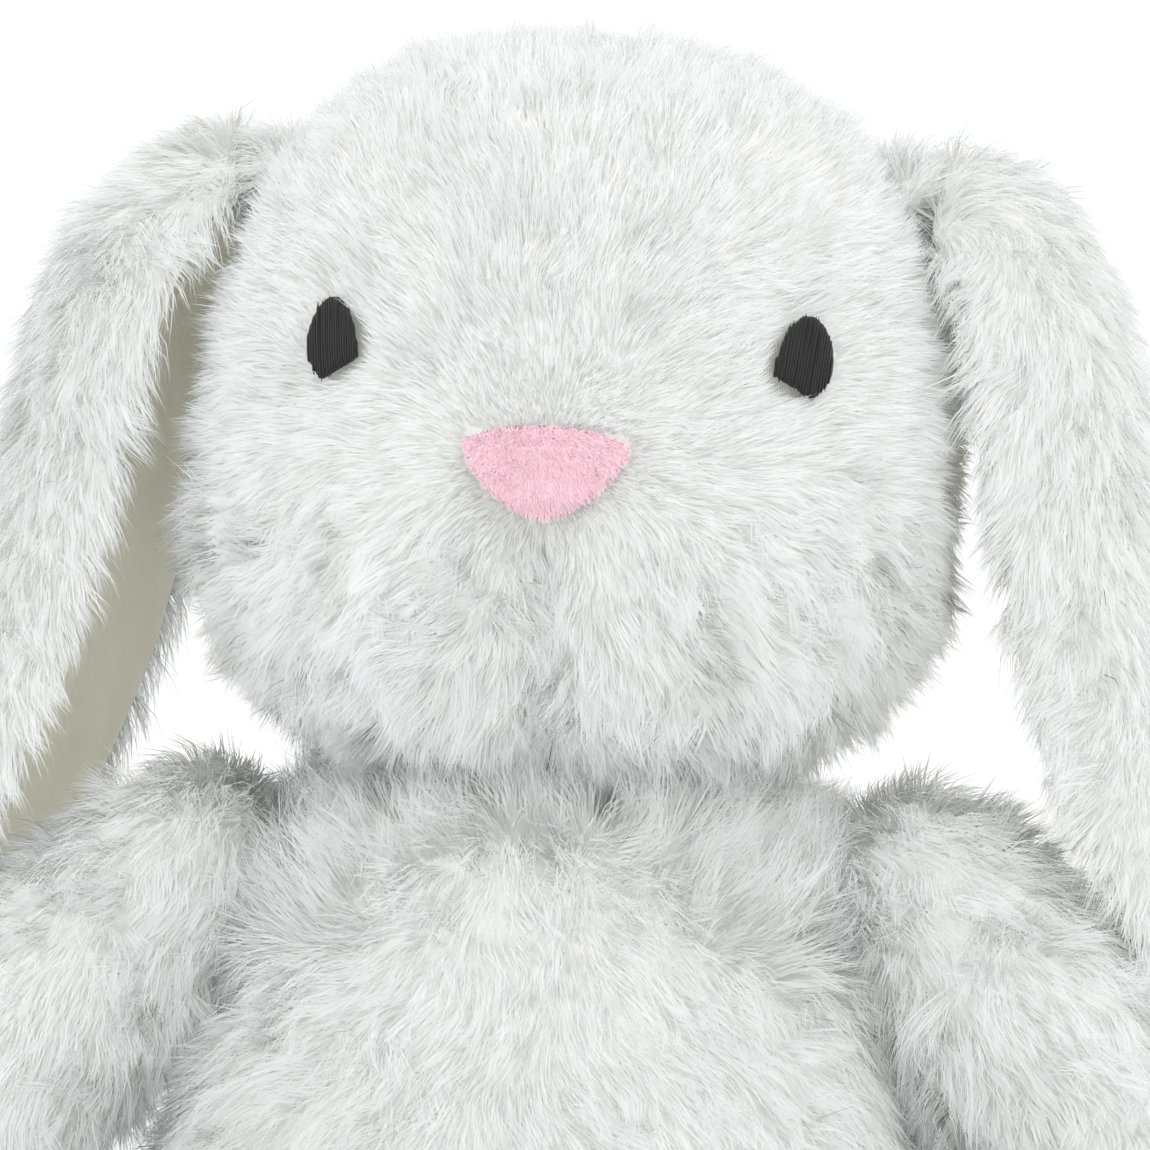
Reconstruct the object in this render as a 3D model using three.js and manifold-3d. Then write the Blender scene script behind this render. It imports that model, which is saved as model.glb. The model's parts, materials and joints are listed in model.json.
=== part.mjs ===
// A sitting plush rabbit with lop ears, sewn from long-pile fabric and filled with fibre.
//
// Units are millimetres. +Z is up and the rabbit faces -Y, so its own left side is +X.
// The origin is the middle of the flat seat. Every cover is a thin shell around its filling,
// and each limb, ear and the head hangs in a group whose origin is the point it turns about.

import * as THREE from 'three';
import { mergeVertices } from 'three/addons/utils/BufferGeometryUtils.js';
import Module from 'manifold-3d';

const wasm = await Module();
wasm.setup();

// ---------------------------------------------------------------- driving dimensions

const FABRIC = 2; // backing cloth with the pressed roots of its pile
const GAP = 0.3; // clearance between pieces that touch
const LINING = 0.2; // extra room that a filling leaves inside its cover
const AROUND = 24; // flat sides round a body form
const LIMB_AROUND = 14; // flat sides round a limb
const BALL_AROUND = 16; // flat sides round a ball

// Torso: half width against height, from the edge of the seat up to the neck.
const SEAT_RADIUS = 46;
const TORSO_SIDE = [[62, 9], [71, 36], [69, 63], [61, 90], [52, 115], [44, 134], [34, 144], [20, 148]];
const TORSO_TOP = 149;
const TORSO_DEPTH = 0.88; // front to back, as a share of the width
const BASE_RADIUS = 44; // the seat panel, inside the edge seam
const POUCH_SIDE = [[26, 2.6], [32, 12], [26, 24]]; // bag of pellets on the seat
const POUCH_TOP = 28;

// Neck: a plug of firm fibre that ends in a ball inside the head.
const NECK_PIVOT = new THREE.Vector3(0, 0, 153);
const NECK_BALL = 17;
const SOCKET_GAP = 0.8; // round the ball, which has flat sides
const NECK_STEM = 14;
const NECK_FOOT = 124;
const NECK_HOLE = 17.4; // in the top of the torso
const HEAD_HOLE = 20; // under the chin
const NECK_THREAD = 0.7; // radius of the gathering thread

// Head: half width against height, from the chin up to the crown.
const CHIN = 152;
const HEAD_SIDE = [
  [37, 154], [51, 163], [58.5, 179], [61, 198], [59.5, 221], [53, 242], [42, 258], [27, 268.5],
];
const CROWN = 272;
const HEAD_DEPTH = 0.84;
const MUZZLE = { height: 193, tall: 30, wide: 40, push: 0.2 }; // swells the lower face
const HEAD_SEAM = 8; // the side seam, where the ears are sewn in, lies behind the middle

const EYE = { left: 39.5, right: 36.5, height: 222, half_width: 4.6, half_height: 7, thick: 1.2 };
const NOSE = { height: 203, half_width: 13.5, depth: 15, thick: 1.4 };

// Ears: a long trough that hangs open towards the head.
const EAR_ROOT = new THREE.Vector3(53, 10, 249.5);
const EAR_GATHER = { radius: 4, length: 24 }; // the pleated root that is sewn to the head
const EAR_SPINE = [ // outwards and upwards from the root, along the middle of the ear
  [5.6, 4], [14, 2.5], [27, -9], [34, -27], [40, -54], [48.5, -84], [63.5, -113], [77, -136], [82, -147],
];
const EAR_CURL = THREE.MathUtils.degToRad(79); // half the angle that the trough wraps
const EAR_TURN = { left: 2, right: 9 }; // degrees round the ear's length; the rear edge turns inwards
const EAR_RADIUS = 27; // of the trough where it is widest
const EAR_SHELL = 3;
const EAR_INNER = 1.2; // thickness of the smooth lining
const EAR_GAP = 0.9;
const EAR_STEPS = { across: 8, along: 14 };

// Arms hang outwards from the shoulders.
const SHOULDER = new THREE.Vector3(50, -2, 147);
const ARM_OUT = THREE.MathUtils.degToRad(41.5); // away from straight down
const ARM_FORWARD = THREE.MathUtils.degToRad(10);
const ARM_SIDE = [[9.5, 3], [15.5, 18], [18.5, 40], [20, 68], [19, 92], [12, 110]];
const ARM_LENGTH = 114;

// Legs lie forwards on the surface and end in upright feet.
const HIP = new THREE.Vector3(41, -40, 24);
const LEG_OUT = THREE.MathUtils.degToRad(20);
const LEG_SIDE = [[14, -17], [21, -5], [22, 14], [20, 44], [19.5, 70], [15, 88]];
const LEG_BACK = -22;
const HIP_BALL = 24; // dent in the torso round the root of the leg
const LEG_FRONT = 94;
const FOOT = { reach: 84, height: 6, half_width: 22, half_depth: 20, half_height: 31 };
const SOLE_REACH = 98;
const LEG_ROOM = { lift: 25, clearance: 1.8 }; // degrees; dents the torso near full lift

// Tail: a round tuft low on the back.
const TAIL = new THREE.Vector3(0, 70, 30);
const TAIL_RADIUS = 19;

const LABEL = { width: 14, length: 20, thick: 0.6, droop: 6, height: 26 };
const STITCHES = { low: 52, high: 104, count: 9, sway: 2.2, thread: 0.55 };

const UP = new THREE.Vector3(0, 0, 1);
const FRONT = new THREE.Vector3(0, -1, 0);
const LEFT = new THREE.Vector3(1, 0, 0);
const BLOCK = 800; // a cutting block larger than the whole rabbit
const SIDES = [['left', 1], ['right', -1]];

// ---------------------------------------------------------------- materials

const cloth = (color, roughness) => new THREE.MeshStandardMaterial({ color, roughness, metalness: 0 });
const materials = {
  fur: () => cloth(0xf3f2ec, 0.95),
  lining: () => cloth(0xe7e1cd, 0.9),
  nose: () => cloth(0xf5c2cd, 0.85),
  eye: () => cloth(0x1a1a1a, 0.7),
  fibre: () => cloth(0xfbfbf8, 1),
  pouch: () => cloth(0xe4ddcb, 0.9),
  thread: () => cloth(0xf6f4ee, 0.7),
  label: () => cloth(0xffffff, 0.4),
};

// ---------------------------------------------------------------- solids

// A closed geometry as a solid that can be cut and joined.
function solid(geometry) {
  const bare = geometry.clone();
  bare.deleteAttribute('normal');
  bare.deleteAttribute('uv');
  const welded = mergeVertices(bare, 1e-4);
  const corners = welded.index.array;
  const triangles = [];
  for (let i = 0; i < corners.length; i += 3) {
    const [a, b, c] = corners.subarray(i, i + 3);
    if (a !== b && b !== c && c !== a) {
      triangles.push(a, b, c);
    }
  }
  return new wasm.Manifold(new wasm.Mesh({
    numProp: 3,
    vertProperties: welded.attributes.position.array,
    triVerts: new Uint32Array(triangles),
  }));
}

// A named mesh of a solid.
function piece(name, shape, material) {
  const made = shape.getMesh();
  const geometry = new THREE.BufferGeometry();
  geometry.setAttribute('position', new THREE.BufferAttribute(made.vertProperties, 3));
  geometry.setIndex(new THREE.BufferAttribute(made.triVerts, 1));
  geometry.computeVertexNormals();
  const mesh = new THREE.Mesh(geometry, material);
  mesh.name = name;
  return mesh;
}

// Everything further along a direction than a distance, as a cutting block.
function beyond(direction, distance = 0) {
  const block = new THREE.BoxGeometry(BLOCK, BLOCK, BLOCK);
  block.translate(0, 0, BLOCK / 2 + distance);
  block.applyQuaternion(new THREE.Quaternion().setFromUnitVectors(UP, direction));
  return solid(block);
}

// The part of a shape on the side that a direction points to, half a gap clear of a seam.
function sideOf(shape, direction, seam = 0) {
  return shape.intersect(beyond(direction, seam + GAP / 2));
}

const opposite = (direction) => direction.clone().negate();

// An outline from the axis round to the axis, moved inwards by an inset.
function insetOutline(points, inset) {
  const last = points.length - 1;
  const normal = (i) => {
    const run = points[i + 1].clone().sub(points[i]).normalize();
    return new THREE.Vector2(-run.y, run.x);
  };
  return points.map((point, i) => {
    if (i === 0 || i === last) {
      const step = normal(i === 0 ? 0 : last - 1).y * inset;
      return new THREE.Vector2(0, point.y + step);
    }
    const before = normal(i - 1);
    const mitre = before.clone().add(normal(i)).normalize();
    return point.clone().addScaledVector(mitre, inset / mitre.dot(before));
  });
}

// A body turned about the vertical from [radius, height] points between two ends on the axis.
function turned(bottom, side, top, { inset = 0, depth = 1, around = AROUND } = {}) {
  const outline = [[0, bottom], ...side, [0, top]].map(([radius, height]) => (
    new THREE.Vector2(radius, height)
  ));
  const geometry = new THREE.LatheGeometry(insetOutline(outline, inset), around);
  geometry.rotateX(Math.PI / 2);
  geometry.scale(1, depth, 1);
  return geometry;
}

function ball(radius, centre) {
  const geometry = new THREE.SphereGeometry(radius, BALL_AROUND, BALL_AROUND / 2);
  geometry.rotateX(Math.PI / 2);
  geometry.translate(...centre);
  return solid(geometry);
}

function post(radius, low, high, depth = 1) {
  const geometry = new THREE.CylinderGeometry(radius, radius, high - low, AROUND);
  geometry.rotateX(Math.PI / 2);
  geometry.scale(1, depth, 1);
  geometry.translate(0, 0, (low + high) / 2);
  return solid(geometry);
}

// A six-sided thread along a curve.
function thread(curve, radius, steps) {
  const section = new THREE.Shape();
  section.absarc(0, 0, radius, 0, 2 * Math.PI);
  const options = { steps, curveSegments: 3, extrudePath: curve, bevelEnabled: false };
  return solid(new THREE.ExtrudeGeometry(section, options));
}

// A group that turns about a pivot, holding pieces and groups that were made in place.
function turning(pivot, contents) {
  const group = new THREE.Group();
  group.position.copy(pivot);
  group.updateMatrixWorld();
  for (const item of contents) {
    if (item.isMesh) {
      item.geometry.translate(-pivot.x, -pivot.y, -pivot.z);
      group.add(item);
    } else {
      group.attach(item);
    }
  }
  return group;
}

const mirrored = (point, side) => new THREE.Vector3(side * point.x, point.y, point.z);

// ---------------------------------------------------------------- limbs, as outer forms

// A limb that is turned about its own axis and laid along a direction from the origin.
function limb(bottom, outline, top, direction, inset) {
  const geometry = turned(bottom, outline, top, { inset, around: LIMB_AROUND });
  geometry.applyQuaternion(new THREE.Quaternion().setFromUnitVectors(UP, direction));
  return geometry;
}

function armDirection(side) {
  return new THREE.Vector3(
    side * Math.sin(ARM_OUT) * Math.cos(ARM_FORWARD),
    -Math.sin(ARM_FORWARD),
    -Math.cos(ARM_OUT) * Math.cos(ARM_FORWARD),
  );
}

function armForm(side, inset = 0) {
  return solid(limb(0, ARM_SIDE, ARM_LENGTH, armDirection(side), inset));
}

function legDirection(side) {
  return new THREE.Vector3(side * Math.sin(LEG_OUT), -Math.cos(LEG_OUT), 0);
}

// A leg and its foot about the hip, flat under the heel and at the sole.
function legForm(side, inset = 0) {
  const direction = legDirection(side);
  const tube = limb(LEG_BACK, LEG_SIDE, LEG_FRONT, direction, inset);
  const foot = new THREE.SphereGeometry(1, LIMB_AROUND, 10);
  foot.rotateX(Math.PI / 2);
  foot.scale(FOOT.half_width - inset, FOOT.half_depth - inset, FOOT.half_height - inset);
  foot.rotateZ(side * LEG_OUT);
  foot.translate(direction.x * FOOT.reach, direction.y * FOOT.reach, FOOT.height);
  return solid(tube)
    .add(solid(foot))
    .subtract(beyond(opposite(UP), HIP.z - inset))
    .subtract(beyond(direction, SOLE_REACH - inset));
}

// The dent in the torso that leaves a leg room to lift.
function legRoom(side) {
  const room = limb(LEG_BACK, LEG_SIDE, LEG_FRONT, legDirection(side), -LEG_ROOM.clearance);
  room.rotateX(THREE.MathUtils.degToRad(-LEG_ROOM.lift));
  const hip = mirrored(HIP, side);
  room.translate(...hip);
  return solid(room).add(ball(HIP_BALL, hip));
}

// ---------------------------------------------------------------- torso and tail

function torsoForm(inset = 0) {
  return solid(turned(0, [[SEAT_RADIUS, 0], ...TORSO_SIDE], TORSO_TOP, { inset, depth: TORSO_DEPTH }));
}

function neckForm(inset = 0) {
  const stem = post(NECK_STEM - inset, NECK_FOOT + inset, NECK_PIVOT.z);
  return stem.add(ball(NECK_BALL - inset, NECK_PIVOT));
}

function makeTorso() {
  const legs = legRoom(1).add(legRoom(-1));
  const seat = post(BASE_RADIUS, -1, FABRIC + GAP, TORSO_DEPTH);
  const seatCut = post(BASE_RADIUS + GAP, -1, FABRIC + GAP, TORSO_DEPTH);
  const cover = torsoForm()
    .subtract(torsoForm(FABRIC))
    .subtract(post(NECK_HOLE, NECK_FOOT, CROWN))
    .subtract(legs);
  const walls = cover.subtract(seatCut);
  const pouch = (inset) => solid(turned(
    FABRIC + GAP + inset, POUCH_SIDE, POUCH_TOP, { inset, depth: TORSO_DEPTH },
  ));
  const fibre = torsoForm(FABRIC + LINING)
    .subtract(pouch(-GAP))
    .subtract(neckForm(-GAP))
    .subtract(legs);

  const panels = SIDES.flatMap(([name, side]) => {
    const half = sideOf(walls, mirrored(LEFT, side));
    return [
      piece(`torso_front_${name}`, sideOf(half, FRONT), materials.fur()),
      piece(`torso_back_${name}`, sideOf(half, opposite(FRONT)), materials.fur()),
    ];
  });
  return [
    ...panels,
    piece('seat_base', cover.intersect(seat), materials.fur()),
    piece('torso_stuffing', fibre, materials.fibre()),
    piece('pellet_pouch', pouch(0), materials.pouch()),
    piece('neck_gathering_thread', neckThread(), materials.thread()),
    piece('back_closing_stitches', closingStitches(), materials.thread()),
    piece('care_label', careLabel(), materials.label()),
  ];
}

// The thread that draws the torso's neck opening in.
function neckThread() {
  const ring = new THREE.TorusGeometry(NECK_BALL + 1.2, NECK_THREAD, 6, AROUND);
  ring.translate(0, 0, TORSO_TOP + 1.2);
  return solid(ring);
}

// The hand-sewn ladder of stitches that closes the back after stuffing.
function closingStitches() {
  const surface = new THREE.SplineCurve(TORSO_SIDE.map(([radius, height]) => (
    new THREE.Vector2(radius * TORSO_DEPTH, height)
  )));
  const outline = surface.getSpacedPoints(200);
  const points = [];
  const turns = 2 * STITCHES.count;
  for (let i = 0; i <= turns; i += 1) {
    const height = THREE.MathUtils.lerp(STITCHES.low, STITCHES.high, i / turns);
    const nearest = outline.reduce((a, b) => (Math.abs(a.y - height) < Math.abs(b.y - height) ? a : b));
    const sway = i % 2 ? STITCHES.sway : -STITCHES.sway;
    points.push(new THREE.Vector3(sway, nearest.x + 2 * STITCHES.thread + GAP, height));
  }
  return thread(new THREE.CatmullRomCurve3(points), STITCHES.thread, 2 * turns);
}

// A blank folded label in the left side seam.
function careLabel() {
  const label = new THREE.BoxGeometry(LABEL.length, LABEL.width, LABEL.thick, 4, 1, 1);
  const place = label.attributes.position;
  for (let i = 0; i < place.count; i += 1) {
    const reach = place.getX(i) / LABEL.length + 0.5;
    place.setZ(i, place.getZ(i) - LABEL.droop * reach * reach);
  }
  const widest = Math.max(...TORSO_SIDE.map(([radius]) => radius));
  label.translate(widest + LABEL.length / 2, 0, LABEL.height);
  return solid(label);
}

function makeTail() {
  const torso = torsoForm(-GAP);
  const cover = ball(TAIL_RADIUS, TAIL).subtract(ball(TAIL_RADIUS - FABRIC, TAIL)).subtract(torso);
  const fibre = ball(TAIL_RADIUS - FABRIC - LINING, TAIL).subtract(torso);
  return [
    piece('tail_cover', cover, materials.fur()),
    piece('tail_stuffing', fibre, materials.fibre()),
  ];
}

// ---------------------------------------------------------------- head

// The head swells forwards round the muzzle.
function headForm(inset = 0) {
  const geometry = turned(CHIN, HEAD_SIDE, CROWN, { inset, depth: HEAD_DEPTH });
  const place = geometry.attributes.position;
  for (let i = 0; i < place.count; i += 1) {
    const [x, y, z] = [place.getX(i), place.getY(i), place.getZ(i)];
    if (y < 0) {
      const tall = Math.exp(-(((z - MUZZLE.height) / MUZZLE.tall) ** 2));
      const wide = Math.exp(-((x / MUZZLE.wide) ** 2));
      place.setY(i, y * (1 + MUZZLE.push * tall * wide));
    }
  }
  return solid(geometry);
}

// A patch that follows the face, cut out by an outline seen from the front.
function facePatch(outline, across, height, thick) {
  const prism = new THREE.ExtrudeGeometry(outline, { depth: BLOCK, bevelEnabled: false, curveSegments: 8 });
  prism.rotateX(Math.PI / 2);
  prism.translate(across, 0, height);
  return solid(prism).intersect(headForm(-GAP - thick)).subtract(headForm(-GAP));
}

// An upright drop with a slanting lower edge that falls away from the nose.
function eyeOutline(side) {
  const { half_width: w, half_height: h } = EYE;
  const outline = new THREE.Shape();
  outline.moveTo(-side * w, -0.45 * h);
  outline.lineTo(side * 0.35 * w, -h);
  outline.quadraticCurveTo(side * 1.25 * w, -0.5 * h, side * w, 0.15 * h);
  outline.quadraticCurveTo(side * 0.7 * w, h, 0, h);
  outline.quadraticCurveTo(-side * 0.8 * w, 0.8 * h, -side * w, -0.45 * h);
  return outline;
}

// A rounded triangle, point down.
function noseOutline() {
  const { half_width: w, depth: d } = NOSE;
  const outline = new THREE.Shape();
  outline.moveTo(-w, 0.22 * d);
  outline.quadraticCurveTo(-0.7 * w, 0.42 * d, 0, 0.42 * d);
  outline.quadraticCurveTo(0.7 * w, 0.42 * d, w, 0.22 * d);
  outline.quadraticCurveTo(0.75 * w, -0.3 * d, 0.2 * w, -0.52 * d);
  outline.quadraticCurveTo(0, -0.6 * d, -0.2 * w, -0.52 * d);
  outline.quadraticCurveTo(-0.75 * w, -0.3 * d, -w, 0.22 * d);
  return outline;
}

function makeHead() {
  const chinHole = post(HEAD_HOLE, TORSO_TOP, NECK_PIVOT.z + HEAD_HOLE / 2);
  const cover = headForm().subtract(headForm(FABRIC)).subtract(chinHole);
  const fibre = headForm(FABRIC + LINING).subtract(ball(NECK_BALL + SOCKET_GAP, NECK_PIVOT));
  const panels = SIDES.flatMap(([name, side]) => {
    const half = sideOf(cover, mirrored(LEFT, side));
    return [
      piece(`face_${name}`, sideOf(half, FRONT, -HEAD_SEAM), materials.fur()),
      piece(`head_back_${name}`, sideOf(half, opposite(FRONT), HEAD_SEAM), materials.fur()),
    ];
  });
  const eyes = SIDES.map(([name, side]) => piece(
    `eye_${name}`,
    facePatch(eyeOutline(side), side * EYE[name], EYE.height, EYE.thick),
    materials.eye(),
  ));
  return [
    ...panels,
    ...eyes,
    piece('nose', facePatch(noseOutline(), 0, NOSE.height, NOSE.thick), materials.nose()),
    piece('head_stuffing', fibre, materials.fibre()),
  ];
}

// ---------------------------------------------------------------- ears

// How wide the ear is along its length: gathered at the root, round at the tip.
function earWidth(along) {
  const spread = THREE.MathUtils.smoothstep(along, -0.28, 0.25);
  const tip = Math.max(0, (along - 0.72) / 0.28);
  return spread * Math.sqrt(1 - 0.97 * tip * tip);
}

// One layer of an ear, between two distances outside the trough's own surface.
function earLayer(side, turn, low, high) {
  const spine = new THREE.SplineCurve(EAR_SPINE.map(([out, up]) => new THREE.Vector2(out, up)));
  const layer = new THREE.BoxGeometry(1, 1, 1, EAR_STEPS.across, EAR_STEPS.along, 1);
  const place = layer.attributes.position;
  for (let i = 0; i < place.count; i += 1) {
    const along = place.getY(i) + 0.5;
    const angle = turn - side * 2 * EAR_CURL * place.getX(i);
    const lift = THREE.MathUtils.lerp(low, high, place.getZ(i) + 0.5);
    const radius = EAR_RADIUS * earWidth(along);
    const middle = spine.getPointAt(along);
    const run = spine.getTangentAt(along);
    const out = new THREE.Vector2(-run.y, run.x);
    const reach = (radius + lift) * Math.cos(angle) - radius;
    const across = (radius + lift) * Math.sin(angle);
    place.setXYZ(i, side * (middle.x + out.x * reach), across, middle.y + out.y * reach);
  }
  return solid(layer);
}

function makeEar(name, side) {
  const turn = THREE.MathUtils.degToRad(EAR_TURN[name]);
  const outside = earLayer(side, turn, 0, EAR_SHELL);
  const inside = earLayer(side, turn, -EAR_GAP - EAR_INNER, -EAR_GAP);
  const flap = new THREE.Group();
  flap.add(
    piece(`ear_outer_${name}`, outside, materials.fur()),
    piece(`ear_lining_${name}`, inside, materials.lining()),
  );
  const gather = new THREE.CylinderGeometry(EAR_GATHER.radius, EAR_GATHER.radius, EAR_GATHER.length, 16);
  const root = new THREE.Group();
  root.add(piece(`ear_root_${name}`, solid(gather), materials.fur()), flap);
  root.position.copy(mirrored(EAR_ROOT, side));
  return root;
}

// ---------------------------------------------------------------- arms and legs

function makeArm(name, side) {
  const direction = armDirection(side);
  const front = FRONT.clone().projectOnPlane(direction).normalize();
  const cover = armForm(side).subtract(armForm(side, FABRIC));
  const arm = new THREE.Group();
  arm.add(
    piece(`arm_front_${name}`, sideOf(cover, front), materials.fur()),
    piece(`arm_back_${name}`, sideOf(cover, opposite(front)), materials.fur()),
    piece(`arm_stuffing_${name}`, armForm(side, FABRIC + LINING), materials.fibre()),
  );
  arm.position.copy(mirrored(SHOULDER, side));
  return arm;
}

function makeLeg(name, side) {
  const direction = legDirection(side);
  const outside = legForm(side);
  const cover = outside.subtract(legForm(side, FABRIC));
  const walls = cover.subtract(beyond(direction, SOLE_REACH - FABRIC - GAP));
  const leg = new THREE.Group();
  leg.add(
    piece(`leg_upper_${name}`, sideOf(walls, UP), materials.fur()),
    piece(`leg_lower_${name}`, sideOf(walls, opposite(UP)), materials.fur()),
    piece(`foot_sole_${name}`, outside.intersect(beyond(direction, SOLE_REACH - FABRIC)), materials.fur()),
    piece(`leg_stuffing_${name}`, legForm(side, FABRIC + LINING), materials.fibre()),
  );
  leg.position.copy(mirrored(HIP, side));
  return leg;
}

// ---------------------------------------------------------------- the rabbit

const ears = SIDES.map(([name, side]) => makeEar(name, side));
const head = turning(NECK_PIVOT, [...makeHead(), ...ears]);
const neck = turning(NECK_PIVOT, [piece('neck_stuffing', neckForm(), materials.fibre()), head]);

const rabbit = new THREE.Group();
rabbit.name = 'plush_rabbit';
rabbit.add(...makeTorso(), ...makeTail(), neck);
rabbit.add(...SIDES.map(([name, side]) => makeArm(name, side)));
rabbit.add(...SIDES.map(([name, side]) => makeLeg(name, side)));

export default rabbit;
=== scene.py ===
import json
import math

import bmesh
import bpy
import numpy as np
from mathutils import Matrix, Vector
from mathutils.bvhtree import BVHTree
from mathutils.kdtree import KDTree


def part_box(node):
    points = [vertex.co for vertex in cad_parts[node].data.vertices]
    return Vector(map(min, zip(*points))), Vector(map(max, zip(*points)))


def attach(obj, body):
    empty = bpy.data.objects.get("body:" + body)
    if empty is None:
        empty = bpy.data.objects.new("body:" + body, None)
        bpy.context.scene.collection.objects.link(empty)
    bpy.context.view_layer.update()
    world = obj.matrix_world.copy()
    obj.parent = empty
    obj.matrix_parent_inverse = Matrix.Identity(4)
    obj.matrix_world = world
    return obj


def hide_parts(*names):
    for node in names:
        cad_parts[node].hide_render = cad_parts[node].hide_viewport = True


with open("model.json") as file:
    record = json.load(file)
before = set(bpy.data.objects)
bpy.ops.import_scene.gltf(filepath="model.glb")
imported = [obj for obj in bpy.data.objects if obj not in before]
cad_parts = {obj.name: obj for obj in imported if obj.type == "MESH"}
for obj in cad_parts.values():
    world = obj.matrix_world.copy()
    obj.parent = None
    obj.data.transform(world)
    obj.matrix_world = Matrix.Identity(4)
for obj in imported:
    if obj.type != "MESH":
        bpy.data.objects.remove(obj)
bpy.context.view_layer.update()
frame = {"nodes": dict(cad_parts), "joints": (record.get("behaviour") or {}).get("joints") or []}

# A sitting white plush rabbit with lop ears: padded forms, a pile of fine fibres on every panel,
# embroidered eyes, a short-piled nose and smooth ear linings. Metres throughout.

MM = 0.001
SIDES = {"left": 1.0, "right": -1.0}
NODES = frame["nodes"]

# ------------------------------------------------------------------ sizes of the padded forms

VOXEL = 4 * MM
PRESSURE = 4.0
CLOTH_FRAMES = 20
SWELL = 3.0 * MM  # the most that a filling may bulge
CLOTH = 2.3 * MM  # the sewn cloth round a filling
FLOOR_CLEARANCE = 0.4 * MM

# ------------------------------------------------------------------ sizes of the pile

FIBRE_WIDTH = 0.22 * MM
NAP_WIDTH = 0.14 * MM  # of the fibres on the nose
ROOT_DEPTH = 0.8 * MM
LINING_REACH = 1.9 * MM  # ear cloth nearer to the lining than this is covered by it
TUFT_SPACING = 1.7 * MM
LOCK_SPACING = 6.5 * MM
LOCK_TURN, TUFT_TURN, FIBRE_TURN = 0.26, 0.14, 0.14  # how far locks, tufts and fibres stray
DROOP = 0.12
SOFT_LIGHT = np.array([0, -0.26, 0.24])  # light scattered through the pile reaches its shaded side
SEE_THROUGH = 0.42  # share of the light that passes through a fibre

# Fibres on a square millimetre. The head and torso have a front and a back value.
HEAD_FIBRES = (4.9, 3.4)
TORSO_FIBRES = (3.4, 2.8)
TAIL_FIBRES = 3.0
ARM_FIBRES = 4.6
LEG_FIBRES = 2.8
EAR_FIBRES = 4.8
EAR_ROOT_FIBRES = 5.0
SOLE_FIBRES = 3.6
NAP_FIBRES = 16

# Where each part's random draws start
SEEDS = {
    "head": 11, "torso": 12, "tail": 13, "nose": 70,
    "arm_left": 20, "leg_left": 30, "sole_left": 80,
    "arm_right": 21, "leg_right": 31, "sole_right": 81,
    "ear_left": 40, "ear_root_left": 41, "eye_left": 60,
    "ear_right": 50, "ear_root_right": 51, "eye_right": 61,
}

# ------------------------------------------------------------------ places, from the frame


def joint_point(name):
    return np.array(next(j["pos_m"] for j in frame["joints"] if j["name"] == name))


def middle(node):
    low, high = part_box(node)
    return np.array((low + high) / 2)


NOSE_LOW, NOSE_HIGH = (np.array(corner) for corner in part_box("nose"))
NOSE = np.array([0.0, NOSE_LOW[1], middle("nose")[2]])
EYES = {side: middle(f"eye_{side}") for side in SIDES}
EYE_HALF = np.array(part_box("eye_left")[1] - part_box("eye_left")[0]) / 2
HEAD_LOW, HEAD_HIGH = (np.array(corner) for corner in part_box("head_stuffing"))
HEAD_SEAM = joint_point("ear_left_lift")[1] - 2 * MM  # the ears are sewn into it
NECK_HEIGHT = joint_point("head_turn")[2]


# ------------------------------------------------------------------ number helpers


def smooth(value, low, high):
    share = np.clip((value - low) / (high - low), 0, 1)
    return share * share * (3 - 2 * share)


def bump_at(value, centre, width):
    return np.exp(-(((value - centre) / width) ** 2))


def unit(vectors):
    return vectors / np.maximum(np.linalg.norm(vectors, axis=-1, keepdims=True), 1e-12)


def dot(a, b):
    return np.sum(a * b, axis=-1, keepdims=True)


def mix(a, b, share):
    return a + (b - a) * share


# ------------------------------------------------------------------ mesh helpers


def show(name, mesh):
    obj = bpy.data.objects.new(name, mesh)
    bpy.context.scene.collection.objects.link(obj)
    return obj


def shade_smooth(mesh):
    mesh.polygons.foreach_set("use_smooth", np.ones(len(mesh.polygons), bool))


def triangle_mesh(name, points, triangles):
    mesh = bpy.data.meshes.new(name)
    mesh.vertices.add(len(points))
    mesh.vertices.foreach_set("co", points.astype(np.float32).ravel())
    mesh.loops.add(triangles.size)
    mesh.loops.foreach_set("vertex_index", triangles.astype(np.int32).ravel())
    mesh.polygons.add(len(triangles))
    mesh.polygons.foreach_set("loop_start", np.arange(0, triangles.size, 3, dtype=np.int32))
    mesh.update(calc_edges=True)
    shade_smooth(mesh)
    return mesh


def copy_of(name, node):
    """A new object holding a copy of a CAD node, with its corners welded."""
    shape = bmesh.new()
    shape.from_mesh(NODES[node].data)
    bmesh.ops.remove_doubles(shape, verts=shape.verts, dist=0.01 * MM)
    mesh = bpy.data.meshes.new(name)
    shape.to_mesh(mesh)
    shape.free()
    return show(name, mesh)


def apply_modifiers(obj):
    graph = bpy.context.evaluated_depsgraph_get()
    mesh = bpy.data.meshes.new_from_object(obj.evaluated_get(graph))
    obj.modifiers.clear()
    old = obj.data
    obj.data = mesh
    bpy.data.meshes.remove(old)
    shade_smooth(mesh)


def remesh(obj, size, relax=0):
    remesher = obj.modifiers.new("voxels", "REMESH")
    remesher.mode = "VOXEL"
    remesher.voxel_size = size
    if relax:
        relaxer = obj.modifiers.new("relax", "SMOOTH")
        relaxer.factor = 0.5
        relaxer.iterations = relax
    apply_modifiers(obj)


def subdivide(obj, levels):
    divider = obj.modifiers.new("subdivision", "SUBSURF")
    divider.levels = levels
    divider.render_levels = levels
    apply_modifiers(obj)


def points_of(mesh):
    points = np.zeros(len(mesh.vertices) * 3, np.float32)
    mesh.vertices.foreach_get("co", points)
    return points.reshape(-1, 3).astype(float)


def normals_of(mesh):
    normals = np.zeros(len(mesh.vertices) * 3, np.float32)
    mesh.vertex_normals.foreach_get("vector", normals)
    return normals.reshape(-1, 3).astype(float)


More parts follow.
